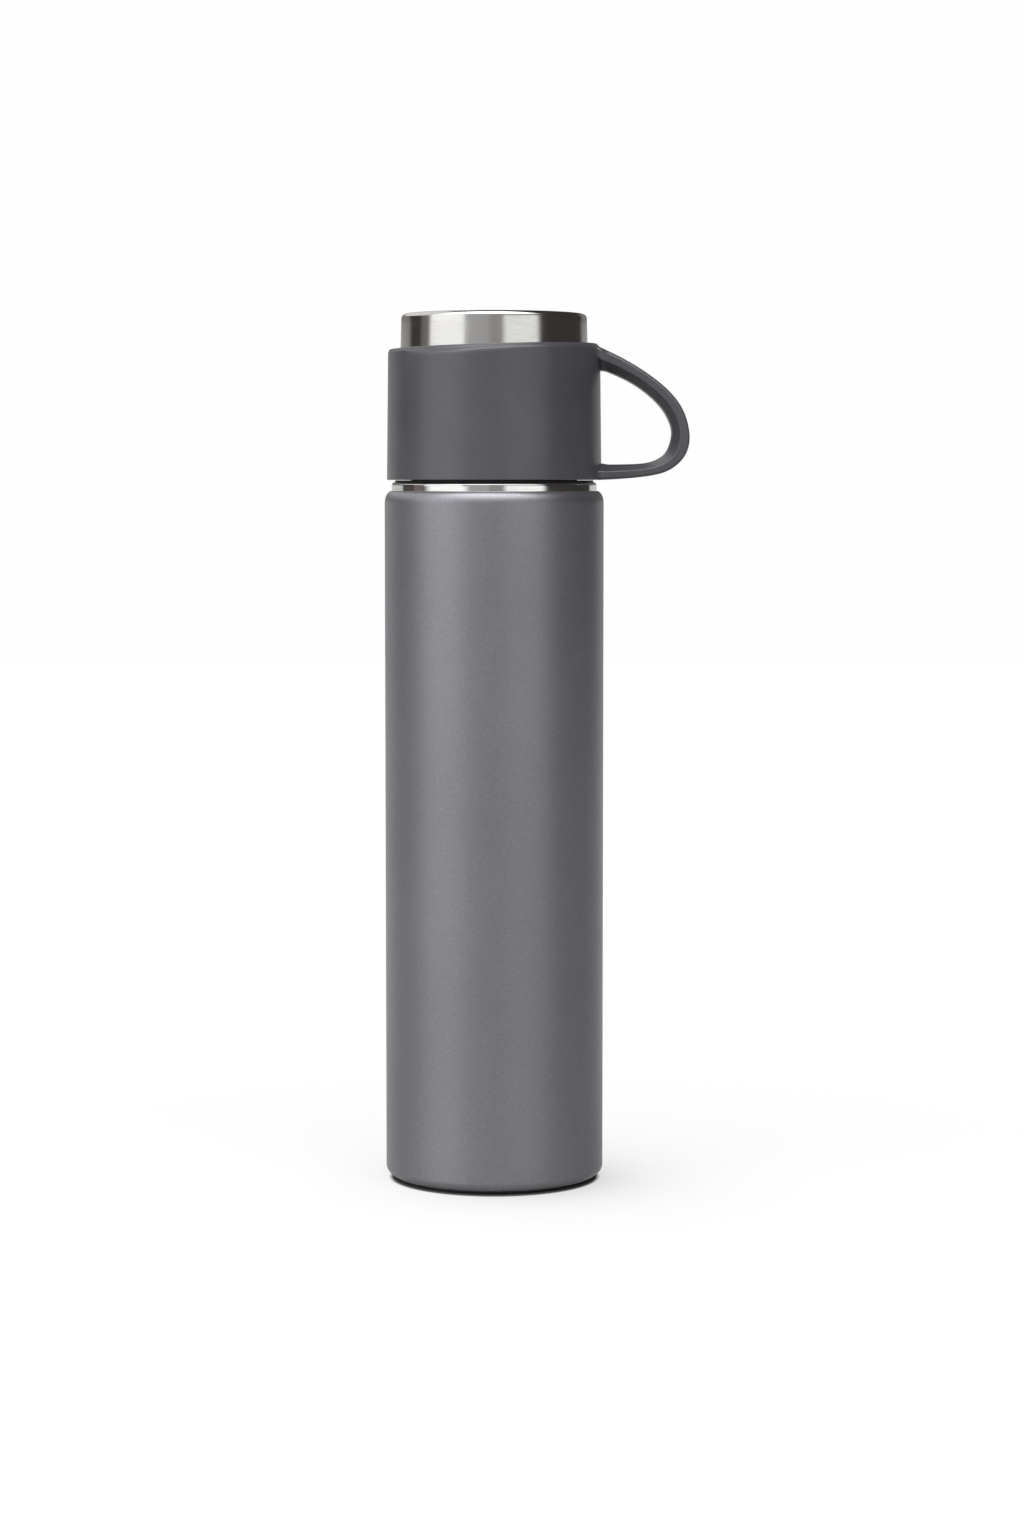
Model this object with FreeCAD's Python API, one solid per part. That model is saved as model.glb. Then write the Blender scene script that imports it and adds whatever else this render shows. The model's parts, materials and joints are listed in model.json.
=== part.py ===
"""Double-walled steel vacuum flask with a threaded push-button stopper and a handled cup as its lid.

Frame: millimetres, +Z up along the flask's axis, origin at the centre of the base, cup handle towards +X.
Each function makes one sub-part, and the table at the end names the files.
"""
import FreeCAD, Part
import math
import os

V = FreeCAD.Vector
ORIGIN = V(0, 0, 0)
UP = V(0, 0, 1)

# ---- clearances and fits -------------------------------------------------------------------
SEAT_GAP = 0.1            # cup rim above its silicone seat
RUNNING = 0.08            # radial clearance of sliding and turning fits
LOOSE = 0.4               # between parts that pass each other without touching
THREAD_GAP = 0.4          # crest of one thread to root of the other
BAND_GAP = 0.06           # grip band to cup liner at the band's upper edge

# ---- flask ---------------------------------------------------------------------------------
BODY_R = 32.5             # outside radius of the coated body
BODY_H = 205.5            # top of the coated body
SHELL_WALL = 0.6
BASE_CORNER = 2.6         # rounding between side and base
SHOULDER_CORNER = 2.3     # rounding at the top of the coated body
PAD_T = 0.9               # thickness of the silicone foot
PAD_INSET = 3.3           # foot edge inside the body's side
PAD_CORNER = 0.4
PLATE_T = 0.8             # welded base plate
POCKET_R = 10.5           # recess in the base plate around the exhaust seal
POCKET_DEPTH = 2.5
COVER_DISC_T = 0.6
EXHAUST_R = 1.2           # hole the air is drawn out through
EXHAUST_BEAD_R = 3.0
EXHAUST_BEAD_T = 1.0
EXHAUST_BEAD_CORNER = 0.7

RING_STEP = 2.1           # bare steel ring inside the body's side
RING_H = 2.6              # height of the bare steel ring
RING_CORNER = 1.0
SKIRT_H = 4.0             # spigot of the neck shoulder inside the body shell
NECK_H = 19.0             # ring shelf to mouth
NECK_BLEND = 1.5          # rounding at the root of the neck
SEAT_T = 0.5              # silicone seat of the cup
SEAT_INNER_STEP = 2.2     # seat's hole outside the neck

VESSEL_WALL = 0.5
VACUUM_GAP = 2.9          # side gap between the two walls
VACUUM_BASE_GAP = 4.0     # gap above the base plate's pocket
VESSEL_CORNER = 9.0
VESSEL_SHOULDER_DROP = 15.5   # vessel's shoulder starts this far under the ring shelf
NECK_VACUUM_GAP = 0.7
LEDGE_STEP = 3.4          # gasket ledge stands in from the mouth's wall
LEDGE_DROP = 24.0         # ledge below the mouth
LEDGE_SLOPE = 0.5
LEDGE_NECK_H = 3.2        # narrow length under the ledge
FOIL_T = 0.1
FOIL_END_MARGIN = 14.0
GETTER_R = 4.0
GETTER_T = 1.6
GETTER_AT = 19.0          # distance of the getter from the axis

# ---- thread of the stopper -----------------------------------------------------------------
LEAD = 12.0               # rise in one turn
STARTS = 2
THREAD_DEPTH = 1.0
THREAD_ROOT_W = 2.3       # ridge width at its foot
THREAD_CREST_W = 1.2
THREAD_SINK = 0.2         # the ridge's foot runs into its wall
NECK_THREAD_H = 12.0
NECK_THREAD_DROP = 3.5    # neck thread ends this far below the mouth
PLUG_THREAD_H = 13.0
PLUG_THREAD_DROP = 4.5

# ---- stopper -------------------------------------------------------------------------------
NECK_TO_COVER = 1.2       # stopper cover stands out past the neck
FLANGE_GAP = 0.3
FLANGE_T = 2.0
PLUG_WALL = 1.6
SPIGOT_GAP = 1.2          # spigot to the vessel's ledge bore
GASKET_T = 2.0
GASKET_GAP = 0.1          # above the ledge
GASKET_CORNER = 0.5
SPIGOT_H = 6.0
TUBE_R = 7.5              # bore of the pour tube
TUBE_WALL = 1.5
CAP_T = 1.6               # welded cap that closes the plug's foam space
SPOUT_W = 10.0            # inside width of the spout duct
SPOUT_H = 5.0             # inside height of the spout duct
SPOUT_WALL = 1.4
TURRET_RISE = 1.0         # turret above the duct's roof
TURRET_WALL = 3.0
GUIDE_T = 2.0
GUIDE_SPIGOT_H = 2.0
STEM_R = 2.0
SEAL_SECTION = 1.3
COVER_WALL = 1.6
COVER_TOP_T = 1.8
BAND_H = 4.6
BAND_SINK = 0.7           # grip band's groove in the cover
BAND_PROUD = 1.85         # grip band's lips outside the cover
BAND_LIP = 0.9            # height of the lips over the band's valleys
COVER_CORNER = 1.2
BAND_RISE = 0.8           # band above the duct's roof
GRIP_FLUTES = 32
FLUTE_R = 0.9
KEY_MARGIN = 14           # degrees each side of the release key without flutes

BUTTON_R = 12.0
BUTTON_TRAVEL = 3.5
BUTTON_PROUD = 3.84
BUTTON_WALL = 1.6
BUTTON_CORNER = 1.4
BUTTON_RIM = 1.2          # retaining rim at the button's foot
BUTTON_RIM_T = 1.0
UNDER_BUTTON = 3.2        # room left under the pressed button
STOP_GAP = 0.3
HUB_R = 4.2
CLIP_T = 0.8
CLIP_STEP = 1.6
VALVE_R = 9.6
VALVE_T = 1.8
VALVE_SEAL_T = 1.4
VALVE_SEAL_CORNER = 0.4
VALVE_LIP = 0.6           # the seal stands out past its plate, and the plate's rounding
VALVE_GAP = 0.1
KEY_W = 8.0
KEY_H = 3.6
KEY_TRAVEL = 1.2
KEY_PROUD = 0.9
KEY_ROOT = 3.0            # the key's block reaches this far in over the plate

SPRING_GAP = 0.1          # each end of a spring to its seat
WIRE_SIDES = 8
BUTTON_SPRING_R = 5.6
BUTTON_SPRING_WIRE = 0.7
BUTTON_SPRING_TURNS = 4
KEY_SPRING_R = 1.2
KEY_SPRING_WIRE = 0.35
KEY_SPRING_TURNS = 6
KEY_SPRING_L = 3.6

# ---- cup -----------------------------------------------------------------------------------
CUP_STEP = 0.7            # sleeve inside the body's side, at the rim
JACKET = 3.06             # liner inside the sleeve's outer face, at the rim
LINER_WALL = 0.5
LINER_DRAFT = 1.6         # degrees
LINER_CORNER = 1.4
HEAD_ROOM = 4.6           # cup's floor above the button
SLEEVE_WALL = 1.9
SLEEVE_DRAFT = 0.65       # degrees
SLEEVE_DROP = 9.6         # sleeve's upper edge below the cup's end, on the axis
SLEEVE_SLANT = 1.55       # degrees, upper edge rises towards the handle
SLEEVE_CORNER = 1.1
RIM_CORNER = 0.6
RIM_RING_H = 2.4
RIM_RING_W = 2.2
RIM_LIP_H = 0.7
LINER_FIT = 0.05
LINER_SEAL_H = 1.6
LINER_SEAL_W = 1.3

HANDLE_REACH = 25.8       # outermost point from the sleeve's side
HANDLE_RISE = 38.6        # height of the upper root above the rim
HANDLE_DEPTH = 15.0
HANDLE_EDGE = 1.9
# outlines as shares of reach and rise, from the upper root to the lower
HANDLE_OUTER = [(-0.06, 1.02), (0.25, 0.92), (0.53, 0.805), (0.755, 0.683), (0.926, 0.53),
                (1.0, 0.338), (0.955, 0.194), (0.83, 0.101), (0.62, 0.041), (0.25, 0.01), (-0.06, 0.0)]
HANDLE_INNER = [(-0.06, 0.858), (0.235, 0.775), (0.465, 0.683), (0.665, 0.561), (0.775, 0.439),
                (0.8, 0.338), (0.75, 0.225), (0.65, 0.163), (0.5, 0.13), (0.25, 0.12), (-0.06, 0.118)]

# ---- levels and radii that follow ----------------------------------------------------------
ring_r = BODY_R - RING_STEP
shelf_z = BODY_H + RING_H
mouth_z = shelf_z + NECK_H
cup_rim_z = shelf_z + SEAT_T + SEAT_GAP

liner_rim_r = BODY_R - CUP_STEP - JACKET
band_low_z = mouth_z + FLANGE_GAP + FLANGE_T + SPOUT_H + SPOUT_WALL + BAND_RISE
band_high_z = band_low_z + BAND_H


def liner_r(z):
    """Outside radius of the cup liner's cone at a height."""
    return liner_rim_r - (z - cup_rim_z - RIM_LIP_H) * math.tan(math.radians(LINER_DRAFT))


def sleeve_r(z):
    """Outside radius of the cup sleeve's cone at a height."""
    return BODY_R - CUP_STEP - (z - cup_rim_z) * math.tan(math.radians(SLEEVE_DRAFT))


band_r = liner_r(band_high_z) - LINER_WALL - BAND_GAP
cover_r = band_r - BAND_PROUD
neck_r = cover_r - NECK_TO_COVER
mouth_r = neck_r - SHELL_WALL - NECK_VACUUM_GAP - VESSEL_WALL

ledge_z = mouth_z - LEDGE_DROP
ledge_r = mouth_r - LEDGE_STEP
vessel_r = BODY_R - SHELL_WALL - VACUUM_GAP
plate_top_z = PAD_T + PLATE_T
vessel_low_z = plate_top_z + POCKET_DEPTH + VACUUM_BASE_GAP
vessel_shoulder_z = shelf_z - VESSEL_SHOULDER_DROP

plug_r = mouth_r - THREAD_DEPTH - THREAD_GAP
spigot_r = ledge_r - SPIGOT_GAP
gasket_low_z = ledge_z + GASKET_GAP
gasket_high_z = gasket_low_z + GASKET_T
plug_low_z = gasket_low_z - SPIGOT_H
flange_low_z = mouth_z + FLANGE_GAP
flange_top_z = flange_low_z + FLANGE_T
duct_top_z = flange_top_z + SPOUT_H + SPOUT_WALL
turret_top_z = duct_top_z + TURRET_RISE
turret_r = TUBE_R + TURRET_WALL
guide_top_z = turret_top_z + GUIDE_T

rim_low_z = guide_top_z + UNDER_BUTTON + BUTTON_TRAVEL
rim_top_z = rim_low_z + BUTTON_RIM_T
cover_inner_top_z = rim_top_z + STOP_GAP
cover_top_z = cover_inner_top_z + COVER_TOP_T
button_top_z = cover_top_z + BUTTON_PROUD
cup_top_z = button_top_z + HEAD_ROOM + LINER_WALL
cover_inner_r = cover_r - COVER_WALL

slide_t = BUTTON_TRAVEL - BUTTON_RIM_T - 2 * LOOSE
slide_low_z = rim_low_z - LOOSE - slide_t
slide_mid_z = slide_low_z + slide_t / 2
slide_r = cover_inner_r - KEY_TRAVEL - LOOSE
slide_hole_r = BUTTON_R + BUTTON_RIM + LOOSE


# ---- shared shapes -------------------------------------------------------------------------
def turned(*corners):
    """Solid of revolution about Z from a closed outline of (radius, height) corners."""
    wire = Part.makePolygon([V(r, 0, z) for r, z in corners + corners[:1]])
    return Part.Face(wire).revolve(ORIGIN, UP, 360)


def disc(radius, low, high, hole=0.0):
    """Flat disc or ring between two heights."""
    solid = Part.makeCylinder(radius, high - low, V(0, 0, low))
    if hole > 0:
        solid = solid.cut(Part.makeCylinder(hole, high - low, V(0, 0, low)))
    return solid


def box(x0, x1, width, z0, z1):
    """Block from x0 to x1, centred across Y."""
    return Part.makeBox(x1 - x0, width, z1 - z0, V(x0, -width / 2, z0))


def rounded(shape, size, *rings):
    """Round the circular edges named by (radius, height)."""
    def named(edge):
        curve = edge.Curve
        return isinstance(curve, Part.Circle) and any(
            abs(curve.Radius - r) < 1e-3 and abs(curve.Center.z - z) < 1e-3 for r, z in rings)
    return shape.makeFillet(size, [edge for edge in shape.Edges if named(edge)])


def torus(ring_radius, section_radius, z):
    """Round-section ring lying flat at a height."""
    return Part.makeTorus(ring_radius, section_radius, V(0, 0, z))


def ridges(wall_r, outward, low, height, offset):
    """Thread ridges, one for each start, all on the helix z = LEAD x turn, shifted by offset degrees."""
    foot_r = wall_r - outward * THREAD_SINK
    crest_r = wall_r + outward * THREAD_DEPTH
    corners = [(foot_r, -THREAD_ROOT_W / 2), (crest_r, -THREAD_CREST_W / 2),
               (crest_r, THREAD_CREST_W / 2), (foot_r, THREAD_ROOT_W / 2)]
    result = []
    for start in range(STARTS):
        section = Part.makePolygon([V(r, 0, z) for r, z in corners + corners[:1]])
        path = Part.Wire(Part.makeHelix(LEAD, height, wall_r).Edges)
        ridge = path.makePipeShell([section], True, True)
        ridge.rotate(ORIGIN, UP, 360 * (low / LEAD + start / STARTS) + offset)
        ridge.translate(V(0, 0, low))
        result.append(ridge)
    return result


def coil(radius, wire_r, turns, length):
    """Compression spring standing on z = 0; the wire's section is a regular polygon."""
    path = Part.Wire(Part.makeHelix(length / turns, length, radius).Edges)
    angles = [2 * math.pi * side / WIRE_SIDES for side in range(WIRE_SIDES + 1)]
    section = Part.makePolygon([V(radius + wire_r * math.cos(a), 0, wire_r * math.sin(a)) for a in angles])
    return path.makePipeShell([section], True, True)


# ---- flask ---------------------------------------------------------------------------------
def body_shell():
    """Coated outer wall, turned in at the shoulder and rounded at the base."""
    inner_r = BODY_R - SHELL_WALL
    low, high = PAD_T, BODY_H
    outside = disc(BODY_R, low, high)
    outside = rounded(outside, BASE_CORNER, (BODY_R, low))
    outside = rounded(outside, SHOULDER_CORNER, (BODY_R, high))
    inside = disc(inner_r, low + SHELL_WALL, high - SHELL_WALL)
    inside = rounded(inside, BASE_CORNER - SHELL_WALL, (inner_r, low + SHELL_WALL))
    inside = rounded(inside, SHOULDER_CORNER - SHELL_WALL, (inner_r, high - SHELL_WALL))
    base_hole = disc(BODY_R - BASE_CORNER - LOOSE, low, low + SHELL_WALL)
    return outside.cut(inside).cut(base_hole).cut(disc(ring_r, high - SHOULDER_CORNER, high))


def neck_shoulder():
    """Bare steel ring, shelf and outer neck in one drawn piece, with a spigot welded into the shell."""
    low = BODY_H - SKIRT_H
    neck_top = mouth_z - VESSEL_WALL
    outside = disc(ring_r, low, shelf_z).fuse(disc(neck_r, low, neck_top)).removeSplitter()
    outside = rounded(outside, RING_CORNER, (ring_r, shelf_z))
    outside = rounded(outside, NECK_BLEND, (neck_r, shelf_z))
    inside = disc(ring_r - SHELL_WALL, low, shelf_z - SHELL_WALL)
    return outside.cut(inside).cut(disc(neck_r - SHELL_WALL, low, neck_top))


def vessel_solid(wall):
    """The inner vessel's form out to its inside (wall 0) or outside surface."""
    body, bore, mouth = vessel_r - VESSEL_WALL + wall, ledge_r + wall, mouth_r + wall
    low = vessel_low_z + VESSEL_WALL - wall
    shoulder = vessel_shoulder_z + wall / 2
    under_ledge = ledge_z - LEDGE_NECK_H + wall / 2
    solid = turned((0, low), (body, low), (body, shoulder), (bore, under_ledge),
                   (bore, ledge_z - LEDGE_SLOPE - wall), (mouth, ledge_z - wall), (mouth, mouth_z),
                   (0, mouth_z))
    return rounded(solid, VESSEL_CORNER - VESSEL_WALL + wall, (body, low), (body, shoulder))


def inner_vessel():
    """Inner wall with the rolled thread of the neck, and the lip welded over the outer neck."""
    lip = disc(neck_r, mouth_z - VESSEL_WALL, mouth_z, mouth_r)
    shell = vessel_solid(VESSEL_WALL).fuse(lip).cut(vessel_solid(0))
    low = mouth_z - NECK_THREAD_DROP - NECK_THREAD_H
    for ridge in ridges(mouth_r, -1, low, NECK_THREAD_H, 0):
        shell = shell.fuse(ridge)
    return shell


def base_plate():
    """Welded bottom with a pocket pressed up around the exhaust hole."""
    roof = plate_top_z + POCKET_DEPTH
    edge = BODY_R - BASE_CORNER - LOOSE
    return turned((EXHAUST_R, roof - PLATE_T), (POCKET_R, roof - PLATE_T), (POCKET_R, PAD_T), (edge, PAD_T),
                  (edge, plate_top_z), (POCKET_R + PLATE_T, plate_top_z), (POCKET_R + PLATE_T, roof),
                  (EXHAUST_R, roof))


def exhaust_seal():
    """Bead of solder that closes the exhaust hole after the air is drawn out."""
    roof = plate_top_z + POCKET_DEPTH
    stem = disc(EXHAUST_R, roof - PLATE_T, roof)
    bead_low = roof - PLATE_T - EXHAUST_BEAD_T
    bead = disc(EXHAUST_BEAD_R, bead_low, roof - PLATE_T)
    return rounded(bead, EXHAUST_BEAD_CORNER, (EXHAUST_BEAD_R, bead_low)).fuse(stem)


def pocket_cover():
    """Steel disc that covers the exhaust seal's pocket."""
    return disc(POCKET_R - LINER_FIT, PAD_T, PAD_T + COVER_DISC_T)


def foot_pad():
    """Silicone disc the flask stands on."""
    return rounded(disc(BODY_R - PAD_INSET, 0, PAD_T), PAD_CORNER, (BODY_R - PAD_INSET, 0))


def radiation_foil():
    """Copper foil around the inner vessel, inside the vacuum."""
    low, high = vessel_low_z + FOIL_END_MARGIN, vessel_shoulder_z - FOIL_END_MARGIN
    return disc(vessel_r + FOIL_T, low, high, vessel_r)


def getter():
    """Pellet that takes up stray gas in the vacuum space."""
    return Part.makeCylinder(GETTER_R, GETTER_T, V(0, GETTER_AT, plate_top_z))


def cup_seat():
    """Silicone washer on the steel shelf, under the cup's rim."""
    return disc(ring_r - RING_CORNER, shelf_z, shelf_z + SEAT_T, neck_r + SEAT_INNER_STEP)


# ---- stopper -------------------------------------------------------------------------------
def spout_block(width, low, high):
    """Block along the spout's duct, from the axis out past the cover."""
    return box(-cover_r, 0, width, low, high)


def foam_space(low):
    """Ring-shaped space between the plug's wall and its pour tube, from a height up to the flange."""
    narrow, wide, tube = spigot_r - PLUG_WALL, plug_r - PLUG_WALL, TUBE_R + TUBE_WALL
    step = gasket_high_z + PLUG_WALL
    return turned((tube, low), (narrow, low), (narrow, step), (wide, step), (wide, flange_low_z),
                  (tube, flange_low_z))


def stopper_body():
    """Threaded plug with its pour tube, flange, turret and spout duct."""
    plug = turned((spigot_r, plug_low_z), (spigot_r, gasket_high_z), (plug_r, gasket_high_z),
                  (plug_r, flange_low_z), (cover_r, flange_low_z), (cover_r, flange_top_z),
                  (0, flange_top_z), (0, plug_low_z))
    duct = spout_block(SPOUT_W + 2 * SPOUT_WALL, flange_top_z, duct_top_z)
    duct = duct.common(disc(cover_r, flange_top_z, duct_top_z))
    body = plug.cut(foam_space(plug_low_z)).fuse(disc(turret_r, flange_top_z, turret_top_z)).fuse(duct)
    body = body.cut(spout_block(SPOUT_W, flange_top_z, flange_top_z + SPOUT_H))
    body = body.cut(disc(TUBE_R, plug_low_z, turret_top_z))
    low = flange_low_z - PLUG_THREAD_DROP - PLUG_THREAD_H
    for ridge in ridges(plug_r, 1, low, PLUG_THREAD_H, 180 / STARTS):
        body = body.fuse(ridge)
    return body


def stopper_gasket():
    """Silicone ring that the plug presses on the vessel's ledge."""
    radius = mouth_r - THREAD_DEPTH - LOOSE
    ring = disc(radius, gasket_low_z, gasket_high_z - RUNNING, spigot_r + RUNNING)
    return rounded(ring, GASKET_CORNER, (radius, gasket_low_z))


def plug_foam():
    """Rigid foam that insulates the plug."""
    return foam_space(plug_low_z + CAP_T)


def plug_cap():
    """Ring welded under the foam."""
    return disc(spigot_r - PLUG_WALL, plug_low_z, plug_low_z + CAP_T, TUBE_R + TUBE_WALL)


def stem_guide():
    """Plug of the turret, with the stem's bearing and its seal's groove."""
    guide = disc(turret_r, turret_top_z, guide_top_z).fuse(
        disc(TUBE_R - LINER_FIT, turret_top_z - GUIDE_SPIGOT_H, turret_top_z))
    groove = disc(STEM_R + SEAL_SECTION, turret_top_z - SEAL_SECTION, turret_top_z)
    return guide.cut(groove).cut(disc(STEM_R + RUNNING, turret_top_z - GUIDE_SPIGOT_H, guide_top_z))


def stem_seal():
    """Round silicone ring in the guide, around the stem."""
    section = (SEAL_SECTION - RUNNING) / 2
    return torus(STEM_R + RUNNING + section, section, turret_top_z - SEAL_SECTION / 2)


def stopper_cover():
    """Upper housing: fluted wall, groove for the grip band, windows for the spout and the release key."""
    cover = disc(cover_r, flange_top_z, cover_top_z)
    cover = rounded(cover, COVER_CORNER, (cover_r, cover_top_z))
    cover = cover.cut(disc(cover_inner_r, flange_top_z, cover_inner_top_z))
    cover = cover.cut(disc(BUTTON_R + RUNNING, cover_inner_top_z, cover_top_z))
    cover = cover.cut(disc(cover_r, band_low_z, band_high_z, cover_r - BAND_SINK))
    window_w = SPOUT_W + 2 * SPOUT_WALL + 2 * RUNNING
    cover = cover.cut(spout_block(window_w, flange_top_z, duct_top_z + RUNNING))
    half = KEY_H / 2 + RUNNING
    cover = cover.cut(box(0, cover_r, KEY_W + 2 * RUNNING, slide_mid_z - half, slide_mid_z + half))
    flute_h = cover_inner_top_z - band_high_z
    flute = Part.makeCylinder(FLUTE_R, flute_h, V(cover_r + FLUTE_R / 2, 0, band_high_z))
    for index in range(GRIP_FLUTES):
        angle = 360 * (index + 0.5) / GRIP_FLUTES
        if abs((angle + 180) % 360 - 180) > KEY_MARGIN:
            turned_flute = flute.copy()
            turned_flute.rotate(ORIGIN, UP, angle)
            cover = cover.cut(turned_flute)
    return cover


def grip_band():
    """Silicone band with two lips that hold the cup by friction."""
    root = cover_r - BAND_SINK
    valley = band_r - BAND_LIP
    levels = [band_low_z + BAND_H * k / 5 for k in range(6)]
    return turned((root, levels[0]), (valley, levels[0]), (band_r, levels[1]), (valley, levels[2]),
                  (valley, levels[3]), (band_r, levels[4]), (valley, levels[5]), (root, levels[5]))


def push_button():
    """Round button: cap, guided skirt with a retaining rim, and a hub for the stem."""
    button = disc(BUTTON_R, rim_low_z, button_top_z)
    button = rounded(button, BUTTON_CORNER, (BUTTON_R, button_top_z))
    button = button.fuse(disc(BUTTON_R + BUTTON_RIM, rim_low_z, rim_top_z))
    hollow = disc(BUTTON_R - BUTTON_WALL, rim_low_z, button_top_z - 2 * BUTTON_WALL, HUB_R)
    return button.cut(hollow).cut(disc(STEM_R, rim_low_z, button_top_z - 2 * BUTTON_WALL))


def valve_stem():
    """Rod from the button down to the valve."""
    return disc(STEM_R, plug_low_z - VALVE_T - VALVE_SEAL_T, button_top_z - 2 * BUTTON_WALL)


def stem_clip():
    """Split ring in the stem's groove, under the button's hub."""
    ring = disc(STEM_R + CLIP_STEP, rim_low_z - CLIP_T, rim_low_z, STEM_R)
    return ring.cut(box(0, STEM_R + CLIP_STEP, STEM_R, rim_low_z - CLIP_T, rim_low_z))


def valve_seal():
    """Silicone washer that closes the pour tube from below."""
    top = plug_low_z - VALVE_GAP
    return rounded(disc(VALVE_R, top - VALVE_SEAL_T, top, STEM_R), VALVE_SEAL_CORNER, (VALVE_R, top))


def valve_plate():
    """Hard disc that backs the valve seal."""
    top = plug_low_z - VALVE_GAP - VALVE_SEAL_T
    low = top - VALVE_T
    radius = VALVE_R - VALVE_LIP
    return rounded(disc(radius, low, top, STEM_R), VALVE_LIP, (radius, low))


def button_spring():
    """Return spring of the button, on the stem's guide."""
    low = guide_top_z + BUTTON_SPRING_WIRE / 2 + SPRING_GAP
    high = button_top_z - 2 * BUTTON_WALL - BUTTON_SPRING_WIRE / 2 - SPRING_GAP
    spring = coil(BUTTON_SPRING_R, BUTTON_SPRING_WIRE / 2, BUTTON_SPRING_TURNS, high - low)
    spring.translate(V(0, 0, low))
    return spring


def release_slide():
    """Plate around the button that carries the release key and the catch."""
    high = slide_low_z + slide_t
    key_low, key_high = slide_mid_z - KEY_H / 2, slide_mid_z + KEY_H / 2
    key = box(slide_r - KEY_ROOT, cover_r + KEY_PROUD, KEY_W, key_low, key_high)
    plate = disc(slide_r, slide_low_z, high).fuse(key)
    hole = disc(slide_hole_r, slide_low_z, high)
    moved = hole.copy()
    moved.translate(V(KEY_TRAVEL + LOOSE / 2, 0, 0))
    plate = plate.cut(hole).cut(moved)
    pocket_end = KEY_SPRING_L - cover_inner_r
    return plate.cut(box(-slide_r, pocket_end, 4 * KEY_SPRING_R, slide_low_z, high))


def key_spring():
    """Return spring of the release slide."""
    length = KEY_SPRING_L - KEY_SPRING_WIRE - 2 * SPRING_GAP
    spring = coil(KEY_SPRING_R, KEY_SPRING_WIRE / 2, KEY_SPRING_TURNS, length)
    spring.rotate(ORIGIN, V(0, 1, 0), 90)
    spring.translate(V(-cover_inner_r + KEY_SPRING_WIRE / 2 + SPRING_GAP, 0, slide_mid_z))
    return spring


# ---- cup -----------------------------------------------------------------------------------
def cone(radius_at, low, high, step=0.0):
    """Solid cone between two heights, step inside the given radius."""
    return turned((0, low), (radius_at(low) - step, low), (radius_at(high) - step, high), (0, high))


def cup_liner():
    """Drawn steel cup, upside down, its closed end up."""
    low = cup_rim_z + RIM_LIP_H
    outside = rounded(cone(liner_r, low, cup_top_z), LINER_CORNER, (liner_r(cup_top_z), cup_top_z))
    floor = cup_top_z - LINER_WALL
    inside = cone(liner_r, low, floor, LINER_WALL)
    inside = rounded(inside, LINER_CORNER - LINER_WALL, (liner_r(floor) - LINER_WALL, floor))
    return outside.cut(inside)


def handle_edge(shares):
    """Smooth curve through an outline given as shares of the handle's reach and rise."""
    wall = sleeve_r(cup_rim_z)
    curve = Part.BSplineCurve()
    curve.interpolate([V(wall + u * HANDLE_REACH, 0, cup_rim_z + w * HANDLE_RISE) for u, w in shares])
    return curve.toShape()


def handle():
    """Strap between two smooth outlines, rounded along its edges."""
    outer, inner = handle_edge(HANDLE_OUTER), handle_edge(HANDLE_INNER)
    first, last = outer.Vertexes[0].Point, outer.Vertexes[-1].Point
    inner_first, inner_last = inner.Vertexes[0].Point, inner.Vertexes[-1].Point
    wire = Part.Wire([outer, Part.makeLine(last, inner_last), inner, Part.makeLine(inner_first, first)])
    strap = Part.Face(wire).extrude(V(0, HANDLE_DEPTH, 0))
    strap.translate(V(0, -HANDLE_DEPTH / 2, 0))
    long_edges = [e for e in strap.Edges if isinstance(e.Curve, Part.BSplineCurve)]
    return strap.makeFillet(HANDLE_EDGE, long_edges)


def cup_sleeve():
    """Moulded jacket of the cup with its handle, upper edge slanted up towards the handle."""
    high = cup_top_z - SLEEVE_DROP
    tall = high + 3
    outside = cone(sleeve_r, cup_rim_z, tall)
    slant = Part.makeBox(200, 200, 20, V(-100, -100, 0))
    slant.rotate(ORIGIN, V(0, 1, 0), -SLEEVE_SLANT)
    slant.translate(V(0, 0, high))
    outside = outside.cut(slant)
    top_edge = [e for e in outside.Edges if e.BoundBox.ZMin > high - 2 and e.Length > BODY_R]
    outside = outside.makeFillet(SLEEVE_CORNER, top_edge)
    outside = rounded(outside, RIM_CORNER, (sleeve_r(cup_rim_z), cup_rim_z))
    sleeve = outside.fuse(handle())
    collar_z = cup_rim_z + RIM_RING_H + LINER_SEAL_H + SLEEVE_WALL
    roof_z = high - SLEEVE_WALL - SLEEVE_CORNER
    sleeve = sleeve.cut(cone(sleeve_r, collar_z, roof_z, SLEEVE_WALL))
    sleeve = sleeve.cut(cone(liner_r, cup_rim_z, tall, -LINER_FIT))
    seal_r = liner_rim_r + LINER_SEAL_W
    sleeve = sleeve.cut(disc(seal_r, cup_rim_z + RIM_RING_H, cup_rim_z + RIM_RING_H + LINER_SEAL_H))
    ring_seat = liner_rim_r - LINER_WALL + RIM_RING_W
    return sleeve.cut(disc(ring_seat, cup_rim_z, cup_rim_z + RIM_RING_H))


def cup_rim_ring():
    """Clip ring that holds the liner's edge in the mouth of the sleeve."""
    inner = liner_rim_r - LINER_WALL
    ring = disc(inner + RIM_RING_W, cup_rim_z, cup_rim_z + RIM_RING_H, inner)
    return ring.cut(cone(liner_r, cup_rim_z + RIM_LIP_H, cup_rim_z + RIM_RING_H, -LINER_FIT))


def liner_seal():
    """Silicone ring that keeps water out of the cup's jacket."""
    low = cup_rim_z + RIM_RING_H
    ring = disc(liner_rim_r + LINER_SEAL_W - LINER_FIT, low, low + LINER_SEAL_H)
    return ring.cut(cone(liner_r, low, low + LINER_SEAL_H, -LINER_FIT))


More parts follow.
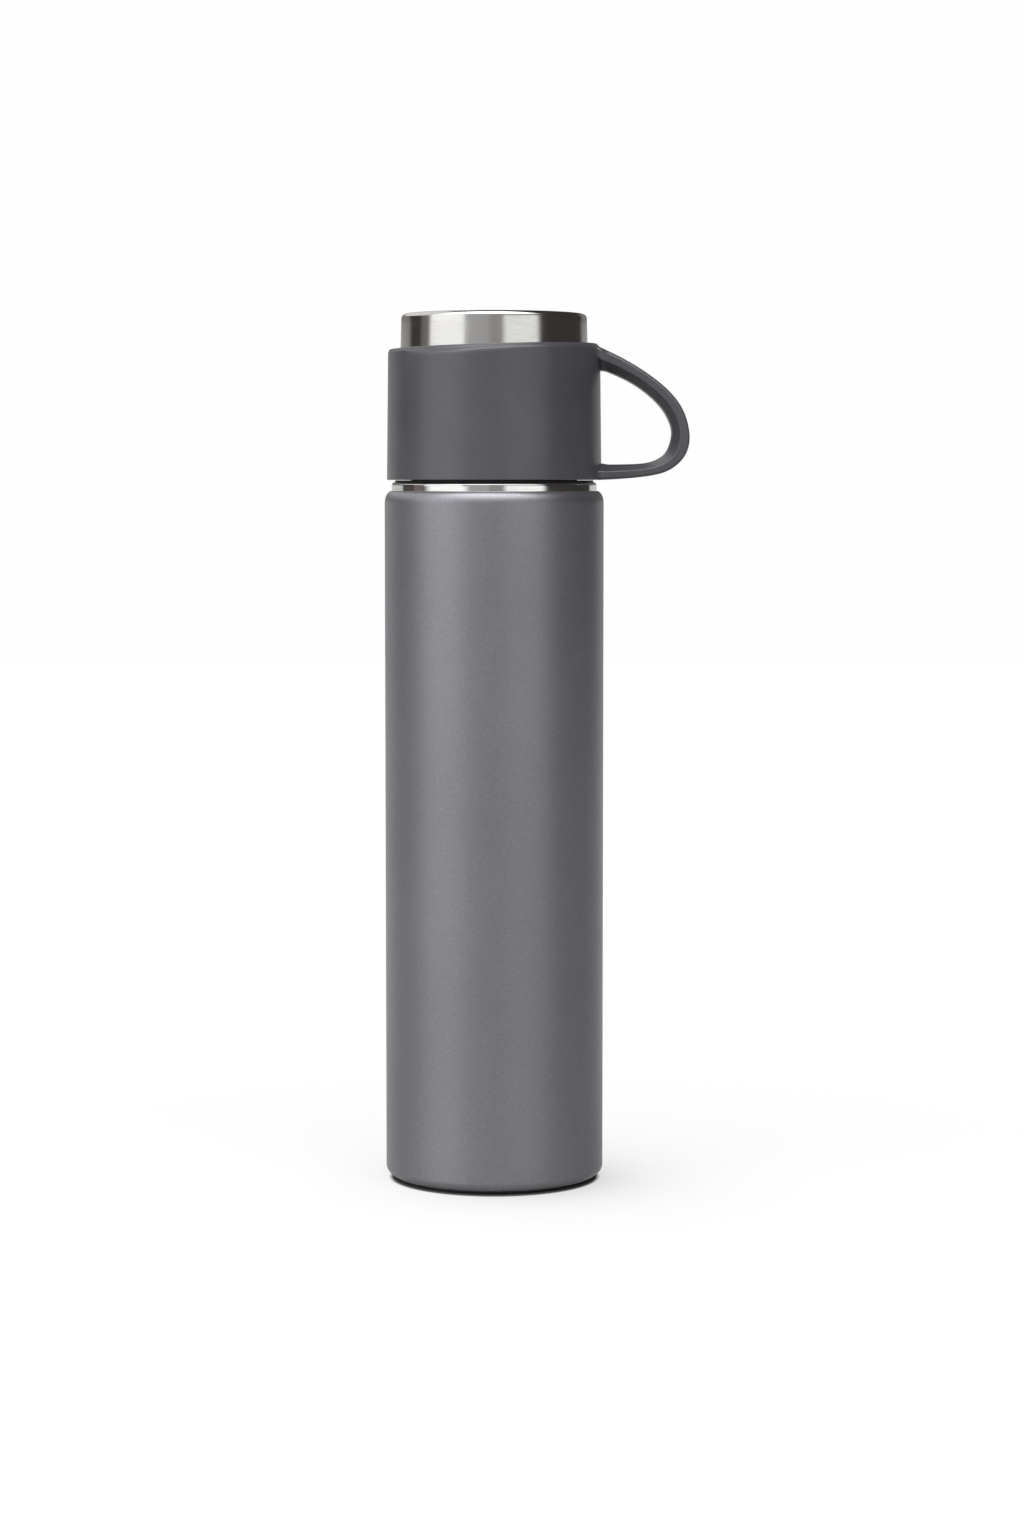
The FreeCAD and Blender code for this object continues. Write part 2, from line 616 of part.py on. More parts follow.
SUB_PARTS = [
    body_shell, neck_shoulder, inner_vessel, base_plate, exhaust_seal, pocket_cover, foot_pad,
    radiation_foil, getter, cup_seat,
    stopper_gasket, stopper_body, plug_foam, plug_cap, stem_guide, stem_seal, stopper_cover, grip_band,
    push_button, valve_stem, stem_clip, valve_seal, valve_plate, button_spring, release_slide, key_spring,
    cup_liner, cup_sleeve, cup_rim_ring, liner_seal,
]

os.makedirs("parts", exist_ok=True)
for make in SUB_PARTS:
    solid = make()
    name = make.__name__
    solid.exportStep("parts/" + name + ".step")
    print(f"{name:16s} {solid.Volume / 1000:8.3f} cm3, valid {solid.isValid()}, solids {len(solid.Solids)}")
print(f"stopper lead {LEAD} mm, cup rim {cup_rim_z:.2f}, mouth {mouth_z:.2f} r {mouth_r:.2f}, top {cup_top_z:.2f}")
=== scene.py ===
"""Vacuum flask with a push-button stopper and a handled cup as its lid: visible shapes, finishes and studio.

Sizes here are in millimetres unless a name says otherwise. +Z is up along the flask's axis, the cup's handle
points to +X, and the camera stands on the -Y side.
"""
import json
import math

import bpy
import numpy as np
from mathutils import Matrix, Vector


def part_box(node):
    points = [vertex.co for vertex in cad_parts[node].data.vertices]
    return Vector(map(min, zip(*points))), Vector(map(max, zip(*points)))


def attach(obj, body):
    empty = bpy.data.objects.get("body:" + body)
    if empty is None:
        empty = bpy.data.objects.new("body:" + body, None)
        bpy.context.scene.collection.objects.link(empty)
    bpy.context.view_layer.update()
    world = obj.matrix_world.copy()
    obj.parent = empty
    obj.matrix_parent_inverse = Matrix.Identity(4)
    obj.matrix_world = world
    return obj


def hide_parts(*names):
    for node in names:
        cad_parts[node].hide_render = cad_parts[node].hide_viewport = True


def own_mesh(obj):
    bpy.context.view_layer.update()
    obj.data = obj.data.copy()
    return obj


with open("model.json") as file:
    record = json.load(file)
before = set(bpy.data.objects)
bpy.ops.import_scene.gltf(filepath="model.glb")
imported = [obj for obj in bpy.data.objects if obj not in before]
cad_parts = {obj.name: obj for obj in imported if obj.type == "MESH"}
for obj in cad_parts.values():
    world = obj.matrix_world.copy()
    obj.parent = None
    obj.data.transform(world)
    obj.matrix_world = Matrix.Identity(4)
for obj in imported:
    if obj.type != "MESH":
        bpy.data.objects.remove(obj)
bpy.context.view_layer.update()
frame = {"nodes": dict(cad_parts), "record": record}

MM = 0.001                # metres in a millimetre
ROUND = 320               # columns round the axis of a turned piece
ARC_STEPS = 9             # points along a rounded corner
SPAN_STEPS = 7            # points along a straight stretch between two corners
EDGE = 0.15               # smallest rounding of any corner


def extent(node):
    """Outer radius, lowest height and highest height of a round CAD node."""
    low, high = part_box(node)
    return high.y / MM, low.z / MM, high.z / MM


# ---- sizes taken from the frame --------------------------------------------------------------
body_r, shell_low, body_top = extent("body_shell")
ring_r, skirt_low, neck_top = extent("neck_shoulder")
pad_r, pad_low, pad_top = extent("foot_pad")
seat_r, shelf_z, seat_top = extent("cup_seat")
liner_rim_r, liner_low, cup_top = extent("cup_liner")
sleeve_rim_r, cup_rim_z, sleeve_top = extent("cup_sleeve")
rim_ring_r, _, rim_ring_top = extent("cup_rim_ring")
seal_r, _, seal_top = extent("liner_seal")
handle_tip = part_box("cup_sleeve")[1].x / MM

# ---- sizes of the visible detail -------------------------------------------------------------
SHELL_WALL = 0.6
BASE_CORNER = 2.9
SHOULDER_CORNER = 2.3
SHOULDER_DROP = 3.7       # height of the shoulder's rounding
RING_CORNER = 1.0
NECK_BLEND = 1.5
STEEL_WALL = 0.5
BASE_HOLE_IN = 0.4        # edge of the shell's open base, inside its corner
RING_FIT = 0.01           # gap between the shell's upper edge and the ring
LIP_BEVEL = 0.02          # small step at the shell's upper edge
SEAT_ROOM = 2.2           # gap between the neck and the seat's hole
PAD_CORNER = 0.4
PAD_GROOVE_IN = 5.0       # groove under the foot: its place inside the edge, width and depth
PAD_GROOVE_WIDE = 2.0
PAD_GROOVE_DEEP = 0.35
LINER_DRAFT = math.tan(math.radians(1.6))
LINER_CORNER = 1.4
END_RECESS = 0.45         # shallow step pressed into the cup's closed end
END_RECESS_IN = 4.2       # its edge inside the cup's side
END_RECESS_SLOPE = 0.5    # how far the step's side leans inward
PRESSED_CORNER = 0.5      # roundings of the step, outside and inside
PRESSED_CORNER_IN = 0.3
LIP_CORNER = 0.2
SLEEVE_DRAFT = math.tan(math.radians(0.65))
SLEEVE_SLANT = math.tan(math.radians(1.55))
SLEEVE_WALL = 1.9
SLEEVE_DROP = 9.6         # upper edge below the cup's end, on the axis
SLEEVE_CORNER_IN = 0.5    # rounding of the hollow wall's corners
SLANT_ROOM = 1.1          # room for the slant between the upper edge and the hollow's roof
ROOF_FIT = 1.0            # height of the fit to the liner above the roof
RIM_LAND = 0.9            # width of the jacket's flat lower edge
RIM_CORNER = 0.3
LEDGE_IN = 0.72           # how far the band above the jacket's small ledge is set back
LEDGE_ROUND = 1.8         # height of the rounding below the ledge
LEDGE_TILT = 0.2          # the band's lean inward, as a share of its height
LEDGE_START = 32          # degrees of azimuth from the far side where the ledge's own curve begins
LEDGE_FADE = (30, 54)     # degrees over which the ledge comes in
BAND_CORNER = 0.5         # rounding of the band's upper edge, and its largest share of the band's height
BAND_CORNER_SHARE = 0.7
LAND_CORNER = 0.35        # rounding where the jacket's upper edge meets the liner
LINER_FIT = 0.05
HANDLE_DEPTH = 15.0
HANDLE_RISE = 38.6
HANDLE_HALF = 2.7         # half thickness of the section as drawn, before it is fitted to the outlines
HANDLE_CORNER = 1.1       # roundings of the section: outer edges, waist and inner face
HANDLE_WAIST_CORNER = 0.6
HANDLE_INNER_CORNER = 3.0
HANDLE_INNER_HALF = 3.2   # half width of the inner face
HANDLE_WAIST = 0.1        # where the inner side starts to narrow, as a share of the half thickness
FLARE_REACH = 1.1         # how far the flare at a root reaches, and the shares it adds in depth and inward
FLARE_WIDE = 0.10
FLARE_IN = 0.14
ROOT_SUNK = 0.35          # further depth of a root's end in the wall
CLOSED_PITCH = 0.18       # pitch at a spring's ends, against 1 added in its middle
END_SHARE = 0.2           # share of a spring's length over which the pitch eases
FAN_R = 0.4               # radius of the small hole that a capped disc's fan closes

# ---- how finely shapes are divided -----------------------------------------------------------
SHOULDER_STEPS = 22
SLEEVE_COLUMNS = 384
SIDE_STEPS = 16
LEDGE_STEPS = 13
HANDLE_STEPS = 150
COIL_STEPS = 56           # along one turn of a spring
WIRE_SIDES = 16


def liner_r(z):
    """Outside radius of the steel cup at a height."""
    return liner_rim_r - (z - liner_low) * LINER_DRAFT


def sleeve_r(z):
    """Outside radius of the cup's jacket at a height."""
    return sleeve_rim_r - (z - cup_rim_z) * SLEEVE_DRAFT


# ---- shape tools -----------------------------------------------------------------------------
def smooth(low, high, value):
    """Share from 0 to 1 between two values, eased at both ends: 3t^2 - 2t^3."""
    t = np.clip((value - low) / (high - low), 0.0, 1.0)
    return t * t * (3 - 2 * t)


def through(knots, t):
    """Natural cubic curve through evenly numbered knots, read at shares t from 0 to 1.

    The second derivatives m are zero at the ends and solve
    m[i-1] + 4 m[i] + m[i+1] = 6 (k[i-1] - 2 k[i] + k[i+1]).
    """
    knots = np.asarray(knots, float)
    knots = knots.reshape(len(knots), -1)
    count = len(knots)
    bands = np.diag(np.full(count, 4.0)) + np.diag(np.ones(count - 1), 1) + np.diag(np.ones(count - 1), -1)
    bands[0], bands[-1] = np.eye(count)[0], np.eye(count)[-1]
    pull = np.zeros_like(knots)
    pull[1:-1] = 6 * (knots[:-2] - 2 * knots[1:-1] + knots[2:])
    bend = np.linalg.solve(bands, pull)
    place = np.clip(t, 0, 1) * (count - 1)
    first = np.minimum(place.astype(int), count - 2)
    b = (place - first)[:, None]
    a = 1 - b
    low, high = knots[first], knots[first + 1]
    return a * low + b * high + ((a**3 - a) * bend[first] + (b**3 - b) * bend[first + 1]) / 6


def outline(*corners, closed=True):
    """Outline with rounded corners: each corner is (radius, height) or (radius, height, rounding).

    A rounding is the arc that touches both sides of its corner. It is swept as
    (sin((1-t) w) a + sin(t w) b) / sin w, with a and b from the arc's centre to its ends and w the turn.
    Extra points lie close to each arc, so that long flat stretches stay flat when shaded.
    """
    points = np.array([corner[:2] for corner in corners], float)
    rounding = np.array([corner[2] if len(corner) > 2 else EDGE for corner in corners])
    back = np.roll(points, 1, axis=0) - points
    on = np.roll(points, -1, axis=0) - points
    back_length = np.linalg.norm(back, axis=1)
    on_length = np.linalg.norm(on, axis=1)
    back, on = back / back_length[:, None], on / on_length[:, None]
    half = np.arccos(np.clip((back * on).sum(1), -1, 1)) / 2
    reach = rounding / np.tan(half)
    if not closed:
        reach[[0, -1]] = 0
    room = np.minimum(1, 0.97 * on_length / (reach + np.roll(reach, -1) + 1e-9))
    reach = reach * np.minimum(room, np.roll(room, 1))
    starts, ends = points + back * reach[:, None], points + on * reach[:, None]
    inward = back + on
    inward /= np.linalg.norm(inward, axis=1)[:, None] + 1e-12
    centres = points + inward * (reach / np.cos(half))[:, None]
    turn = (math.pi - 2 * half)[:, None, None]
    t = np.linspace(0, 1, ARC_STEPS)[None, :, None]
    arcs = np.sin((1 - t) * turn) * (starts - centres)[:, None] + np.sin(t * turn) * (ends - centres)[:, None]
    arcs = centres[:, None] + arcs / np.sin(np.maximum(turn, 1e-6))
    shares = (1 - np.cos(np.linspace(0, math.pi, SPAN_STEPS + 2)[1:-1])) / 2
    spans = ends[:, None] + shares[None, :, None] * (np.roll(starts, -1, axis=0) - ends)[:, None]
    if closed:
        return np.concatenate([arcs, spans], axis=1).reshape(-1, 2)
    middle = np.concatenate([arcs[1:-1], spans[1:-1]], axis=1).reshape(-1, 2)
    return np.concatenate([points[:1], spans[0], middle, points[-1:]])


def turned(profile, count=ROUND):
    """Surface of revolution: a profile point (r, z) becomes (r cos a, r sin a, z) at each azimuth a."""
    a = np.arange(count) * 2 * math.pi / count
    r, z = profile[:, :1], profile[:, 1:]
    return np.stack([r * np.cos(a), r * np.sin(a), z + 0 * a], axis=-1)


def piece(name, grid, body, slot, stands_for, capped=False):
    """Closed mesh over a grid of points (rows, columns, 3) whose columns join round, in its slot's finish.

    The rows join round too, or with capped a fan about its middle closes the first and the last row. The
    order of the corners is turned round if the enclosed volume, the sum of a.(b x c) / 6, comes out negative.
    """
    rows, columns = grid.shape[:2]
    index = np.arange(rows * columns).reshape(rows, columns)
    right = np.roll(index, -1, axis=1)
    points = grid.reshape(-1, 3)
    if capped:
        quads = np.stack([index[:-1], right[:-1], right[1:], index[1:]], axis=-1).reshape(-1, 4)
        points = np.concatenate([points, grid[:1].mean(axis=1), grid[-1:].mean(axis=1)])
        first = np.stack([right[0], index[0], np.full(columns, rows * columns)], axis=-1)
        last = np.stack([index[-1], right[-1], np.full(columns, rows * columns + 1)], axis=-1)
        fans = np.concatenate([first, last])
    else:
        below, below_right = np.roll(index, -1, axis=0), np.roll(right, -1, axis=0)
        quads = np.stack([index, right, below_right, below], axis=-1).reshape(-1, 4)
        fans = np.zeros((0, 3), int)
    halves = np.concatenate([quads[:, [0, 1, 2]], quads[:, [0, 2, 3]], fans])
    a, b, c = points[halves[:, 0]], points[halves[:, 1]], points[halves[:, 2]]
    if (a * np.cross(b, c)).sum() < 0:
        quads, fans = quads[:, ::-1], fans[:, ::-1]
    mesh = bpy.data.meshes.new(name)
    mesh.from_pydata((points * MM).tolist(), [], quads.tolist() + fans.tolist())
    mesh.polygons.foreach_set("use_smooth", np.ones(len(mesh.polygons), bool))
    mesh.materials.append(FINISHES[slot])
    mesh.update()
    made = bpy.data.objects.new(name, mesh)
    bpy.context.scene.collection.objects.link(made)
    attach(made, body)
    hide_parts(stands_for)
    return made


# ---- node tools ------------------------------------------------------------------------------
class Wiring:
    """Adds nodes to a tree and joins them by socket name."""

    def __init__(self, tree):
        self.tree = tree

    def node(self, kind, sockets=None, **settings):
        """New node; a socket given another node's output is linked, and any other value is set on it."""
        made = self.tree.nodes.new(kind)
        for key, value in settings.items():
            setattr(made, key, value)
        for key, value in (sockets or {}).items():
            if isinstance(value, bpy.types.NodeSocket):
                self.tree.links.new(value, made.inputs[key])
            else:
                made.inputs[key].default_value = value
        return made

    def math(self, operation, *values):
        """Output of a Math node."""
        return self.node("ShaderNodeMath", dict(enumerate(values)), operation=operation).outputs[0]

    def ease(self, value, low, high, to_low=0.0, to_high=1.0):
        """Output of a smooth Map Range node."""
        sockets = {"Value": value, "From Min": low, "From Max": high, "To Min": to_low, "To Max": to_high}
        return self.node("ShaderNodeMapRange", sockets, interpolation_type="SMOOTHSTEP").outputs["Result"]

    def blend(self, share, first, second):
        """Colour between two colours."""
        made = self.node("ShaderNodeMix", data_type="RGBA")
        for socket, value in zip((made.inputs[0], made.inputs[6], made.inputs[7]), (share, first, second)):
            if isinstance(value, bpy.types.NodeSocket):
                self.tree.links.new(value, socket)
            else:
                socket.default_value = value
        return made.outputs[2]

    def effect(self, group, place, **values):
        """A shared effect placed in this tree, reading Object coordinates."""
        return self.node("ShaderNodeGroup", {"Place": place, **values}, node_tree=group)


def effect_group(name, inputs, outputs):
    """Empty node group with a Place vector, number inputs and number outputs."""
    tree = bpy.data.node_groups.new(name, "ShaderNodeTree")
    tree.interface.new_socket(name="Place", in_out="INPUT", socket_type="NodeSocketVector")
    for label, value in inputs.items():
        socket = tree.interface.new_socket(name=label, in_out="INPUT", socket_type="NodeSocketFloat")
        socket.default_value = value
    for label in outputs:
        tree.interface.new_socket(name=label, in_out="OUTPUT", socket_type="NodeSocketFloat")
    wiring = Wiring(tree)
    given = wiring.node("NodeGroupInput").outputs
    wanted = wiring.node("NodeGroupOutput").inputs
    return wiring, given, wanted


def noise(w, place, scale, detail=2.0, roughness=0.5):
    """Value output of a 3D noise."""
    sockets = {"Vector": place, "Scale": scale, "Detail": detail, "Roughness": roughness}
    return w.node("ShaderNodeTexNoise", sockets).outputs[0]


def speckle_effect():
    """Fine grains: Mask picks light flakes, Tone is a soft mottle between them, Height the orange peel."""
    w, given, wanted = effect_group("Fine speckle", {"Grains per metre": 2500.0}, ("Mask", "Tone", "Height"))
    scale = given["Grains per metre"]
    cells = w.node("ShaderNodeTexVoronoi", {"Vector": given["Place"], "Scale": scale})
    chance = w.node("ShaderNodeSeparateColor", {"Color": cells.outputs["Color"]}).outputs[0]
    w.tree.links.new(w.ease(chance, 0.72, 0.98), wanted["Mask"])
    w.tree.links.new(noise(w, given["Place"], w.math("MULTIPLY", scale, 0.45), 3.0, 0.6), wanted["Tone"])
    peel = noise(w, given["Place"], w.math("MULTIPLY", scale, 0.3), 2.0, 0.5)
    w.tree.links.new(w.math("ADD", peel, w.math("MULTIPLY", cells.outputs["Distance"], 0.3)), wanted["Height"])
    return w.tree


def turned_grain_effect():
    """Lines left by turning or polishing: noise over (k cos a, k sin a, lines (z + r)), so it has no seam."""
    inputs = {"Lines per metre": 4000.0, "Round": 6.0}
    w, given, wanted = effect_group("Turned grain", inputs, ("Mask", "Height"))
    axes = w.node("ShaderNodeSeparateXYZ", {0: given["Place"]}).outputs
    radius = w.math("SQRT", w.math("ADD", w.math("POWER", axes[0], 2.0), w.math("POWER", axes[1], 2.0)))
    radius = w.math("MAXIMUM", radius, 1e-5)
    round_x = w.math("MULTIPLY", w.math("DIVIDE", axes[0], radius), given["Round"])
    round_y = w.math("MULTIPLY", w.math("DIVIDE", axes[1], radius), given["Round"])
    along = w.math("MULTIPLY", w.math("ADD", axes[2], radius), given["Lines per metre"])
    place = w.node("ShaderNodeCombineXYZ", {0: round_x, 1: round_y, 2: along}).outputs[0]
    lines = noise(w, place, 1.0, 3.0, 0.65)
    w.tree.links.new(w.ease(lines, 0.3, 0.7), wanted["Mask"])
    w.tree.links.new(lines, wanted["Height"])
    return w.tree


def uneven_effect():
    """Soft large-scale unevenness of tone or gloss, from Low to High."""
    inputs = {"Patches per metre": 40.0, "Low": 0.9, "High": 1.1}
    w, given, wanted = effect_group("Uneven tone", inputs, ("Value",))
    patches = noise(w, given["Place"], given["Patches per metre"], 3.0, 0.55)
    w.tree.links.new(w.ease(patches, 0.3, 0.7, given["Low"], given["High"]), wanted["Value"])
    return w.tree


def moulded_grain_effect():
    """Grain of a spark-eroded mould: Height for the bump, Mask for the small change of tone and gloss."""
    w, given, wanted = effect_group("Moulded grain", {"Grains per metre": 3500.0}, ("Mask", "Height"))
    cells = w.node("ShaderNodeTexVoronoi", {"Vector": given["Place"], "Scale": given["Grains per metre"]},
                   feature="SMOOTH_F1")
    fine = noise(w, given["Place"], w.math("MULTIPLY", given["Grains per metre"], 0.6), 3.0, 0.6)
    height = w.math("ADD", w.math("MULTIPLY", cells.outputs["Distance"], 0.6), w.math("MULTIPLY", fine, 0.8))
    w.tree.links.new(w.ease(fine, 0.3, 0.7), wanted["Mask"])
    w.tree.links.new(height, wanted["Height"])
    return w.tree


def handling_effect():
    """Rubbed patches and hairline marks left by use; Mask is strongest where both meet."""
    inputs = {"Patches per metre": 30.0, "Hairlines": 900.0}
    w, given, wanted = effect_group("Handling marks", inputs, ("Mask",))
    patches = w.ease(noise(w, given["Place"], given["Patches per metre"], 4.0, 0.6), 0.5, 0.75)
    turn = w.node("ShaderNodeMapping", {"Vector": given["Place"], "Rotation": (0.5, 0.9, 0.3),
                                        "Scale": (1.0, 0.03, 1.0)}).outputs[0]
    lines = w.ease(noise(w, turn, given["Hairlines"], 1.0, 0.4), 0.62, 0.72)
    crossed = w.math("MULTIPLY", w.math("MULTIPLY", lines, patches), 0.6)
    mask = w.math("ADD", w.math("MULTIPLY", patches, 0.6), crossed)
    w.tree.links.new(mask, wanted["Mask"])
    return w.tree


SPECKLE, TURNED_GRAIN, UNEVEN = speckle_effect(), turned_grain_effect(), uneven_effect()
MOULDED_GRAIN, HANDLING = moulded_grain_effect(), handling_effect()


def material(name, **constants):
    """New material, its wiring, its Object coordinates and its Principled shader with constants set."""
    made = bpy.data.materials.new(name)
    made.use_nodes = True
    made.node_tree.nodes.clear()
    w = Wiring(made.node_tree)
    shader = w.node("ShaderNodeBsdfPrincipled", {label.replace("_", " "): v for label, v in constants.items()})
    out = w.node("ShaderNodeOutputMaterial")
    w.tree.links.new(shader.outputs[0], out.inputs["Surface"])
    place = w.node("ShaderNodeTexCoord").outputs["Object"]
    return made, w, place, shader


def shade(w, shader, colour, height, distance, strength, roughness):
    """Joins colour, roughness and a bump's height to a shader."""
    bump = w.node("ShaderNodeBump", {"Height": height, "Distance": distance, "Strength": strength})
    w.tree.links.new(bump.outputs[0], shader.inputs["Normal"])
    w.tree.links.new(colour, shader.inputs["Base Color"])
    w.tree.links.new(roughness, shader.inputs["Roughness"])


def grey(value, tint=(1.0, 1.0, 1.0)):
    """Grey as a colour, with a faint tint of red, green and blue shares."""
    return (value * tint[0], value * tint[1], value * tint[2], 1.0)


def powder_coat(name, dark, light, tint):
    """Matt metallic powder coat: light flakes in a darker binder, with a faint orange peel."""
    made, w, place, shader = material(name, Metallic=0.85, IOR=1.5)
    grains = w.effect(SPECKLE, place, **{"Grains per metre": 3600.0})
    patches = w.effect(UNEVEN, place, **{"Patches per metre": 24.0, "Low": 0.05, "High": 0.15})
    flakes = w.math("MULTIPLY", grains.outputs["Mask"], 0.22)
    share = w.math("ADD", w.math("ADD", flakes, w.math("MULTIPLY", grains.outputs["Tone"], 0.5)),
                   patches.outputs["Value"])
    colour = w.blend(share, grey(dark, tint), grey(light, tint))
    rubbed = w.effect(HANDLING, place, **{"Patches per metre": 22.0})
    roughness = w.math("SUBTRACT", w.math("ADD", 0.36, w.math("MULTIPLY", grains.outputs["Tone"], 0.06)),
                       w.math("MULTIPLY", rubbed.outputs["Mask"], 0.03))
    shade(w, shader, colour, grains.outputs["Height"], 0.00002, 0.35, roughness)
    return made


def steel(name, tone, gloss, lines, around=6.0, depth=0.000004):
    """Bare stainless steel with turned grain, uneven polish and a few hairlines."""
    made, w, place, shader = material(name, Metallic=1.0)
    grain = w.effect(TURNED_GRAIN, place, **{"Lines per metre": lines, "Round": around})
    patches = w.effect(UNEVEN, place, **{"Patches per metre": 60.0, "Low": -0.02, "High": 0.03})
    marks = w.effect(HANDLING, place, **{"Patches per metre": 60.0, "Hairlines": 1500.0})
    share = w.math("MULTIPLY", grain.outputs["Mask"], 0.6)
    colour = w.blend(share, grey(tone, WARM_STEEL), grey(tone * LINE_TONE, WARM_STEEL))
    roughness = w.math("ADD", w.math("ADD", gloss, patches.outputs["Value"]),
                       w.math("ADD", w.math("MULTIPLY", grain.outputs["Mask"], 0.05),
                              w.math("MULTIPLY", marks.outputs["Mask"], 0.05)))
    shade(w, shader, colour, grain.outputs["Height"], depth, 0.5, roughness)
    return made


def moulded(name, dark, light, gloss, grains=3500.0, depth=0.00003, tint=(1.0, 1.0, 1.0), **constants):
    """Moulded plastic or rubber with a fine mould grain and soft handling marks."""
    made, w, place, shader = material(name, **constants)
    grain = w.effect(MOULDED_GRAIN, place, **{"Grains per metre": grains})
    patches = w.effect(UNEVEN, place, **{"Patches per metre": 45.0, "Low": 0.15, "High": 0.55})
    marks = w.effect(HANDLING, place, **{"Patches per metre": 35.0})
    share = w.math("ADD", patches.outputs["Value"], w.math("MULTIPLY", grain.outputs["Mask"], 0.35))
    colour = w.blend(share, grey(dark, tint), grey(light, tint))
    roughness = w.math("SUBTRACT", w.math("ADD", gloss, w.math("MULTIPLY", grain.outputs["Mask"], 0.06)),
                       w.math("MULTIPLY", marks.outputs["Mask"], 0.02))
    shade(w, shader, colour, grain.outputs["Height"], depth, 0.4, roughness)
    return made


def plain_metal(name, first, second, gloss, patches_per_metre, depth):
    """Soft or unpolished metal such as solder, copper foil or sintered powder, with mottled colour."""
    made, w, place, shader = material(name, Metallic=1.0)
    grains = w.effect(SPECKLE, place, **{"Grains per metre": patches_per_metre})
    colour = w.blend(w.math("ADD", w.math("MULTIPLY", grains.outputs["Mask"], 0.4), grains.outputs["Tone"]),
                     first, second)
    roughness = w.math("ADD", gloss, w.math("MULTIPLY", grains.outputs["Tone"], 0.15))
    shade(w, shader, colour, grains.outputs["Height"], depth, 0.5, roughness)
    return made


WARM_STEEL = (1.008, 1.0, 0.985)
LINE_TONE = 0.93          # brightness of the grain's lines against the steel between them
COPPER = (0.85, 0.42, 0.27, 1.0), (0.93, 0.55, 0.38, 1.0)
FINISHES = {
    "coat_grey": powder_coat("Charcoal powder coat", 0.20, 0.37, (1.013, 1.0, 1.1)),
    "polished_steel": steel("Polished steel", 0.74, 0.07, 2500.0, around=3.0, depth=0.000002),
    "satin_steel": steel("Satin turned steel", 0.68, 0.13, 5200.0),
    "vessel_steel": steel("Electropolished steel", 0.66, 0.2, 1800.0),
    "plate_steel": steel("Pressed plate steel", 0.58, 0.28, 3000.0),
    "spring_steel": steel("Drawn spring wire", 0.62, 0.22, 6000.0),
    "solder": plain_metal("Dull solder", (0.5, 0.5, 0.52, 1.0), (0.62, 0.62, 0.63, 1.0), 0.35, 900.0, 0.00008),
    "copper_foil": plain_metal("Copper foil", *COPPER, 0.22, 400.0, 0.0001),
    "getter_metal": plain_metal("Sintered pellet", (0.16, 0.16, 0.17, 1.0), (0.3, 0.3, 0.31, 1.0), 0.6, 3000.0,
                                0.0001),
    "black_silicone": moulded("Black silicone", 0.012, 0.028, 0.52, 5000.0, 0.00001, IOR=1.41),
    "stopper_plastic": moulded("Stopper plastic", 0.032, 0.05, 0.42, 3500.0, 0.00001),
    "cover_plastic": moulded("Cover plastic", 0.045, 0.07, 0.5, 3200.0),
    "button_plastic": moulded("Button plastic", 0.06, 0.09, 0.46, 3200.0),
    "valve_plastic": moulded("Valve plastic", 0.55, 0.68, 0.4, 3000.0, 0.00001, Subsurface_Weight=0.1),
    "foam_white": moulded("Closed-cell foam", 0.72, 0.86, 0.85, 1400.0, 0.0003),
    "sleeve_grey": moulded("Charcoal moulded jacket", 0.057, 0.085, 0.29, 3000.0, 0.000016, (0.984, 1.0, 1.15),
                           IOR=1.6),
}


# ---- flask -----------------------------------------------------------------------------------
def body_shell():
    """Coated outer wall, one closed turned section: outside, shoulder, inside and base.

    The shoulder is a quarter ellipse, r = edge + (body_r - edge) cos a and z = below + drop sin a.
    """
    inner = body_r - SHELL_WALL
    hole = body_r - BASE_CORNER - BASE_HOLE_IN
    edge = ring_r + RING_FIT
    below = body_top - SHOULDER_DROP
    outside = outline((hole, shell_low), (body_r, shell_low, BASE_CORNER), (body_r, below), closed=False)
    a = np.linspace(0, math.pi / 2, SHOULDER_STEPS)[1:-1]
    shoulder = np.stack([edge + (body_r - edge) * np.cos(a), below + SHOULDER_DROP * np.sin(a)], axis=-1)
    inside = outline((edge, body_top - LIP_BEVEL), (edge, body_top - SHELL_WALL, 0.05),
                     (inner, body_top - SHELL_WALL, SHOULDER_CORNER - SHELL_WALL),
                     (inner, shell_low + SHELL_WALL, BASE_CORNER - SHELL_WALL), (hole, shell_low + SHELL_WALL),
                     closed=False)
    section = np.concatenate([outside, shoulder, inside])
    piece("body_shell_coated", turned(section), "flask", "coat_grey", "body_shell")


def seat_hole_r():
    """Radius of the hole in the cup's seat."""
    seat = frame["nodes"]["cup_seat"].data
    places = np.zeros(len(seat.vertices) * 3, np.float32)
    seat.vertices.foreach_get("co", places)
    places = places.reshape(-1, 3)
    return float(np.hypot(places[:, 0], places[:, 1]).min()) / MM


def neck_shoulder():
    """Polished steel ring, shelf and outer neck, a closed turned section with the blend at the neck's root."""
    neck_r = seat_hole_r() - SEAT_ROOM
    section = outline((ring_r, skirt_low), (ring_r, shelf_z, RING_CORNER), (neck_r, shelf_z, NECK_BLEND),
                      (neck_r, neck_top), (neck_r - SHELL_WALL, neck_top),
                      (neck_r - SHELL_WALL, shelf_z - SHELL_WALL, NECK_BLEND - SHELL_WALL),
                      (ring_r - SHELL_WALL, shelf_z - SHELL_WALL, RING_CORNER - SHELL_WALL),
                      (ring_r - SHELL_WALL, skirt_low))
    piece("neck_ring_polished", turned(section), "flask", "polished_steel", "neck_shoulder")


def cup_seat():
    """Silicone washer under the cup's rim, with softer edges above than below."""
    hole = seat_hole_r()
    section = outline((hole, shelf_z, 0.1), (seat_r, shelf_z, 0.1), (seat_r, seat_top, 0.2),
                      (hole, seat_top, 0.2))
    piece("cup_seat_washer", turned(section), "flask", "black_silicone", "cup_seat")


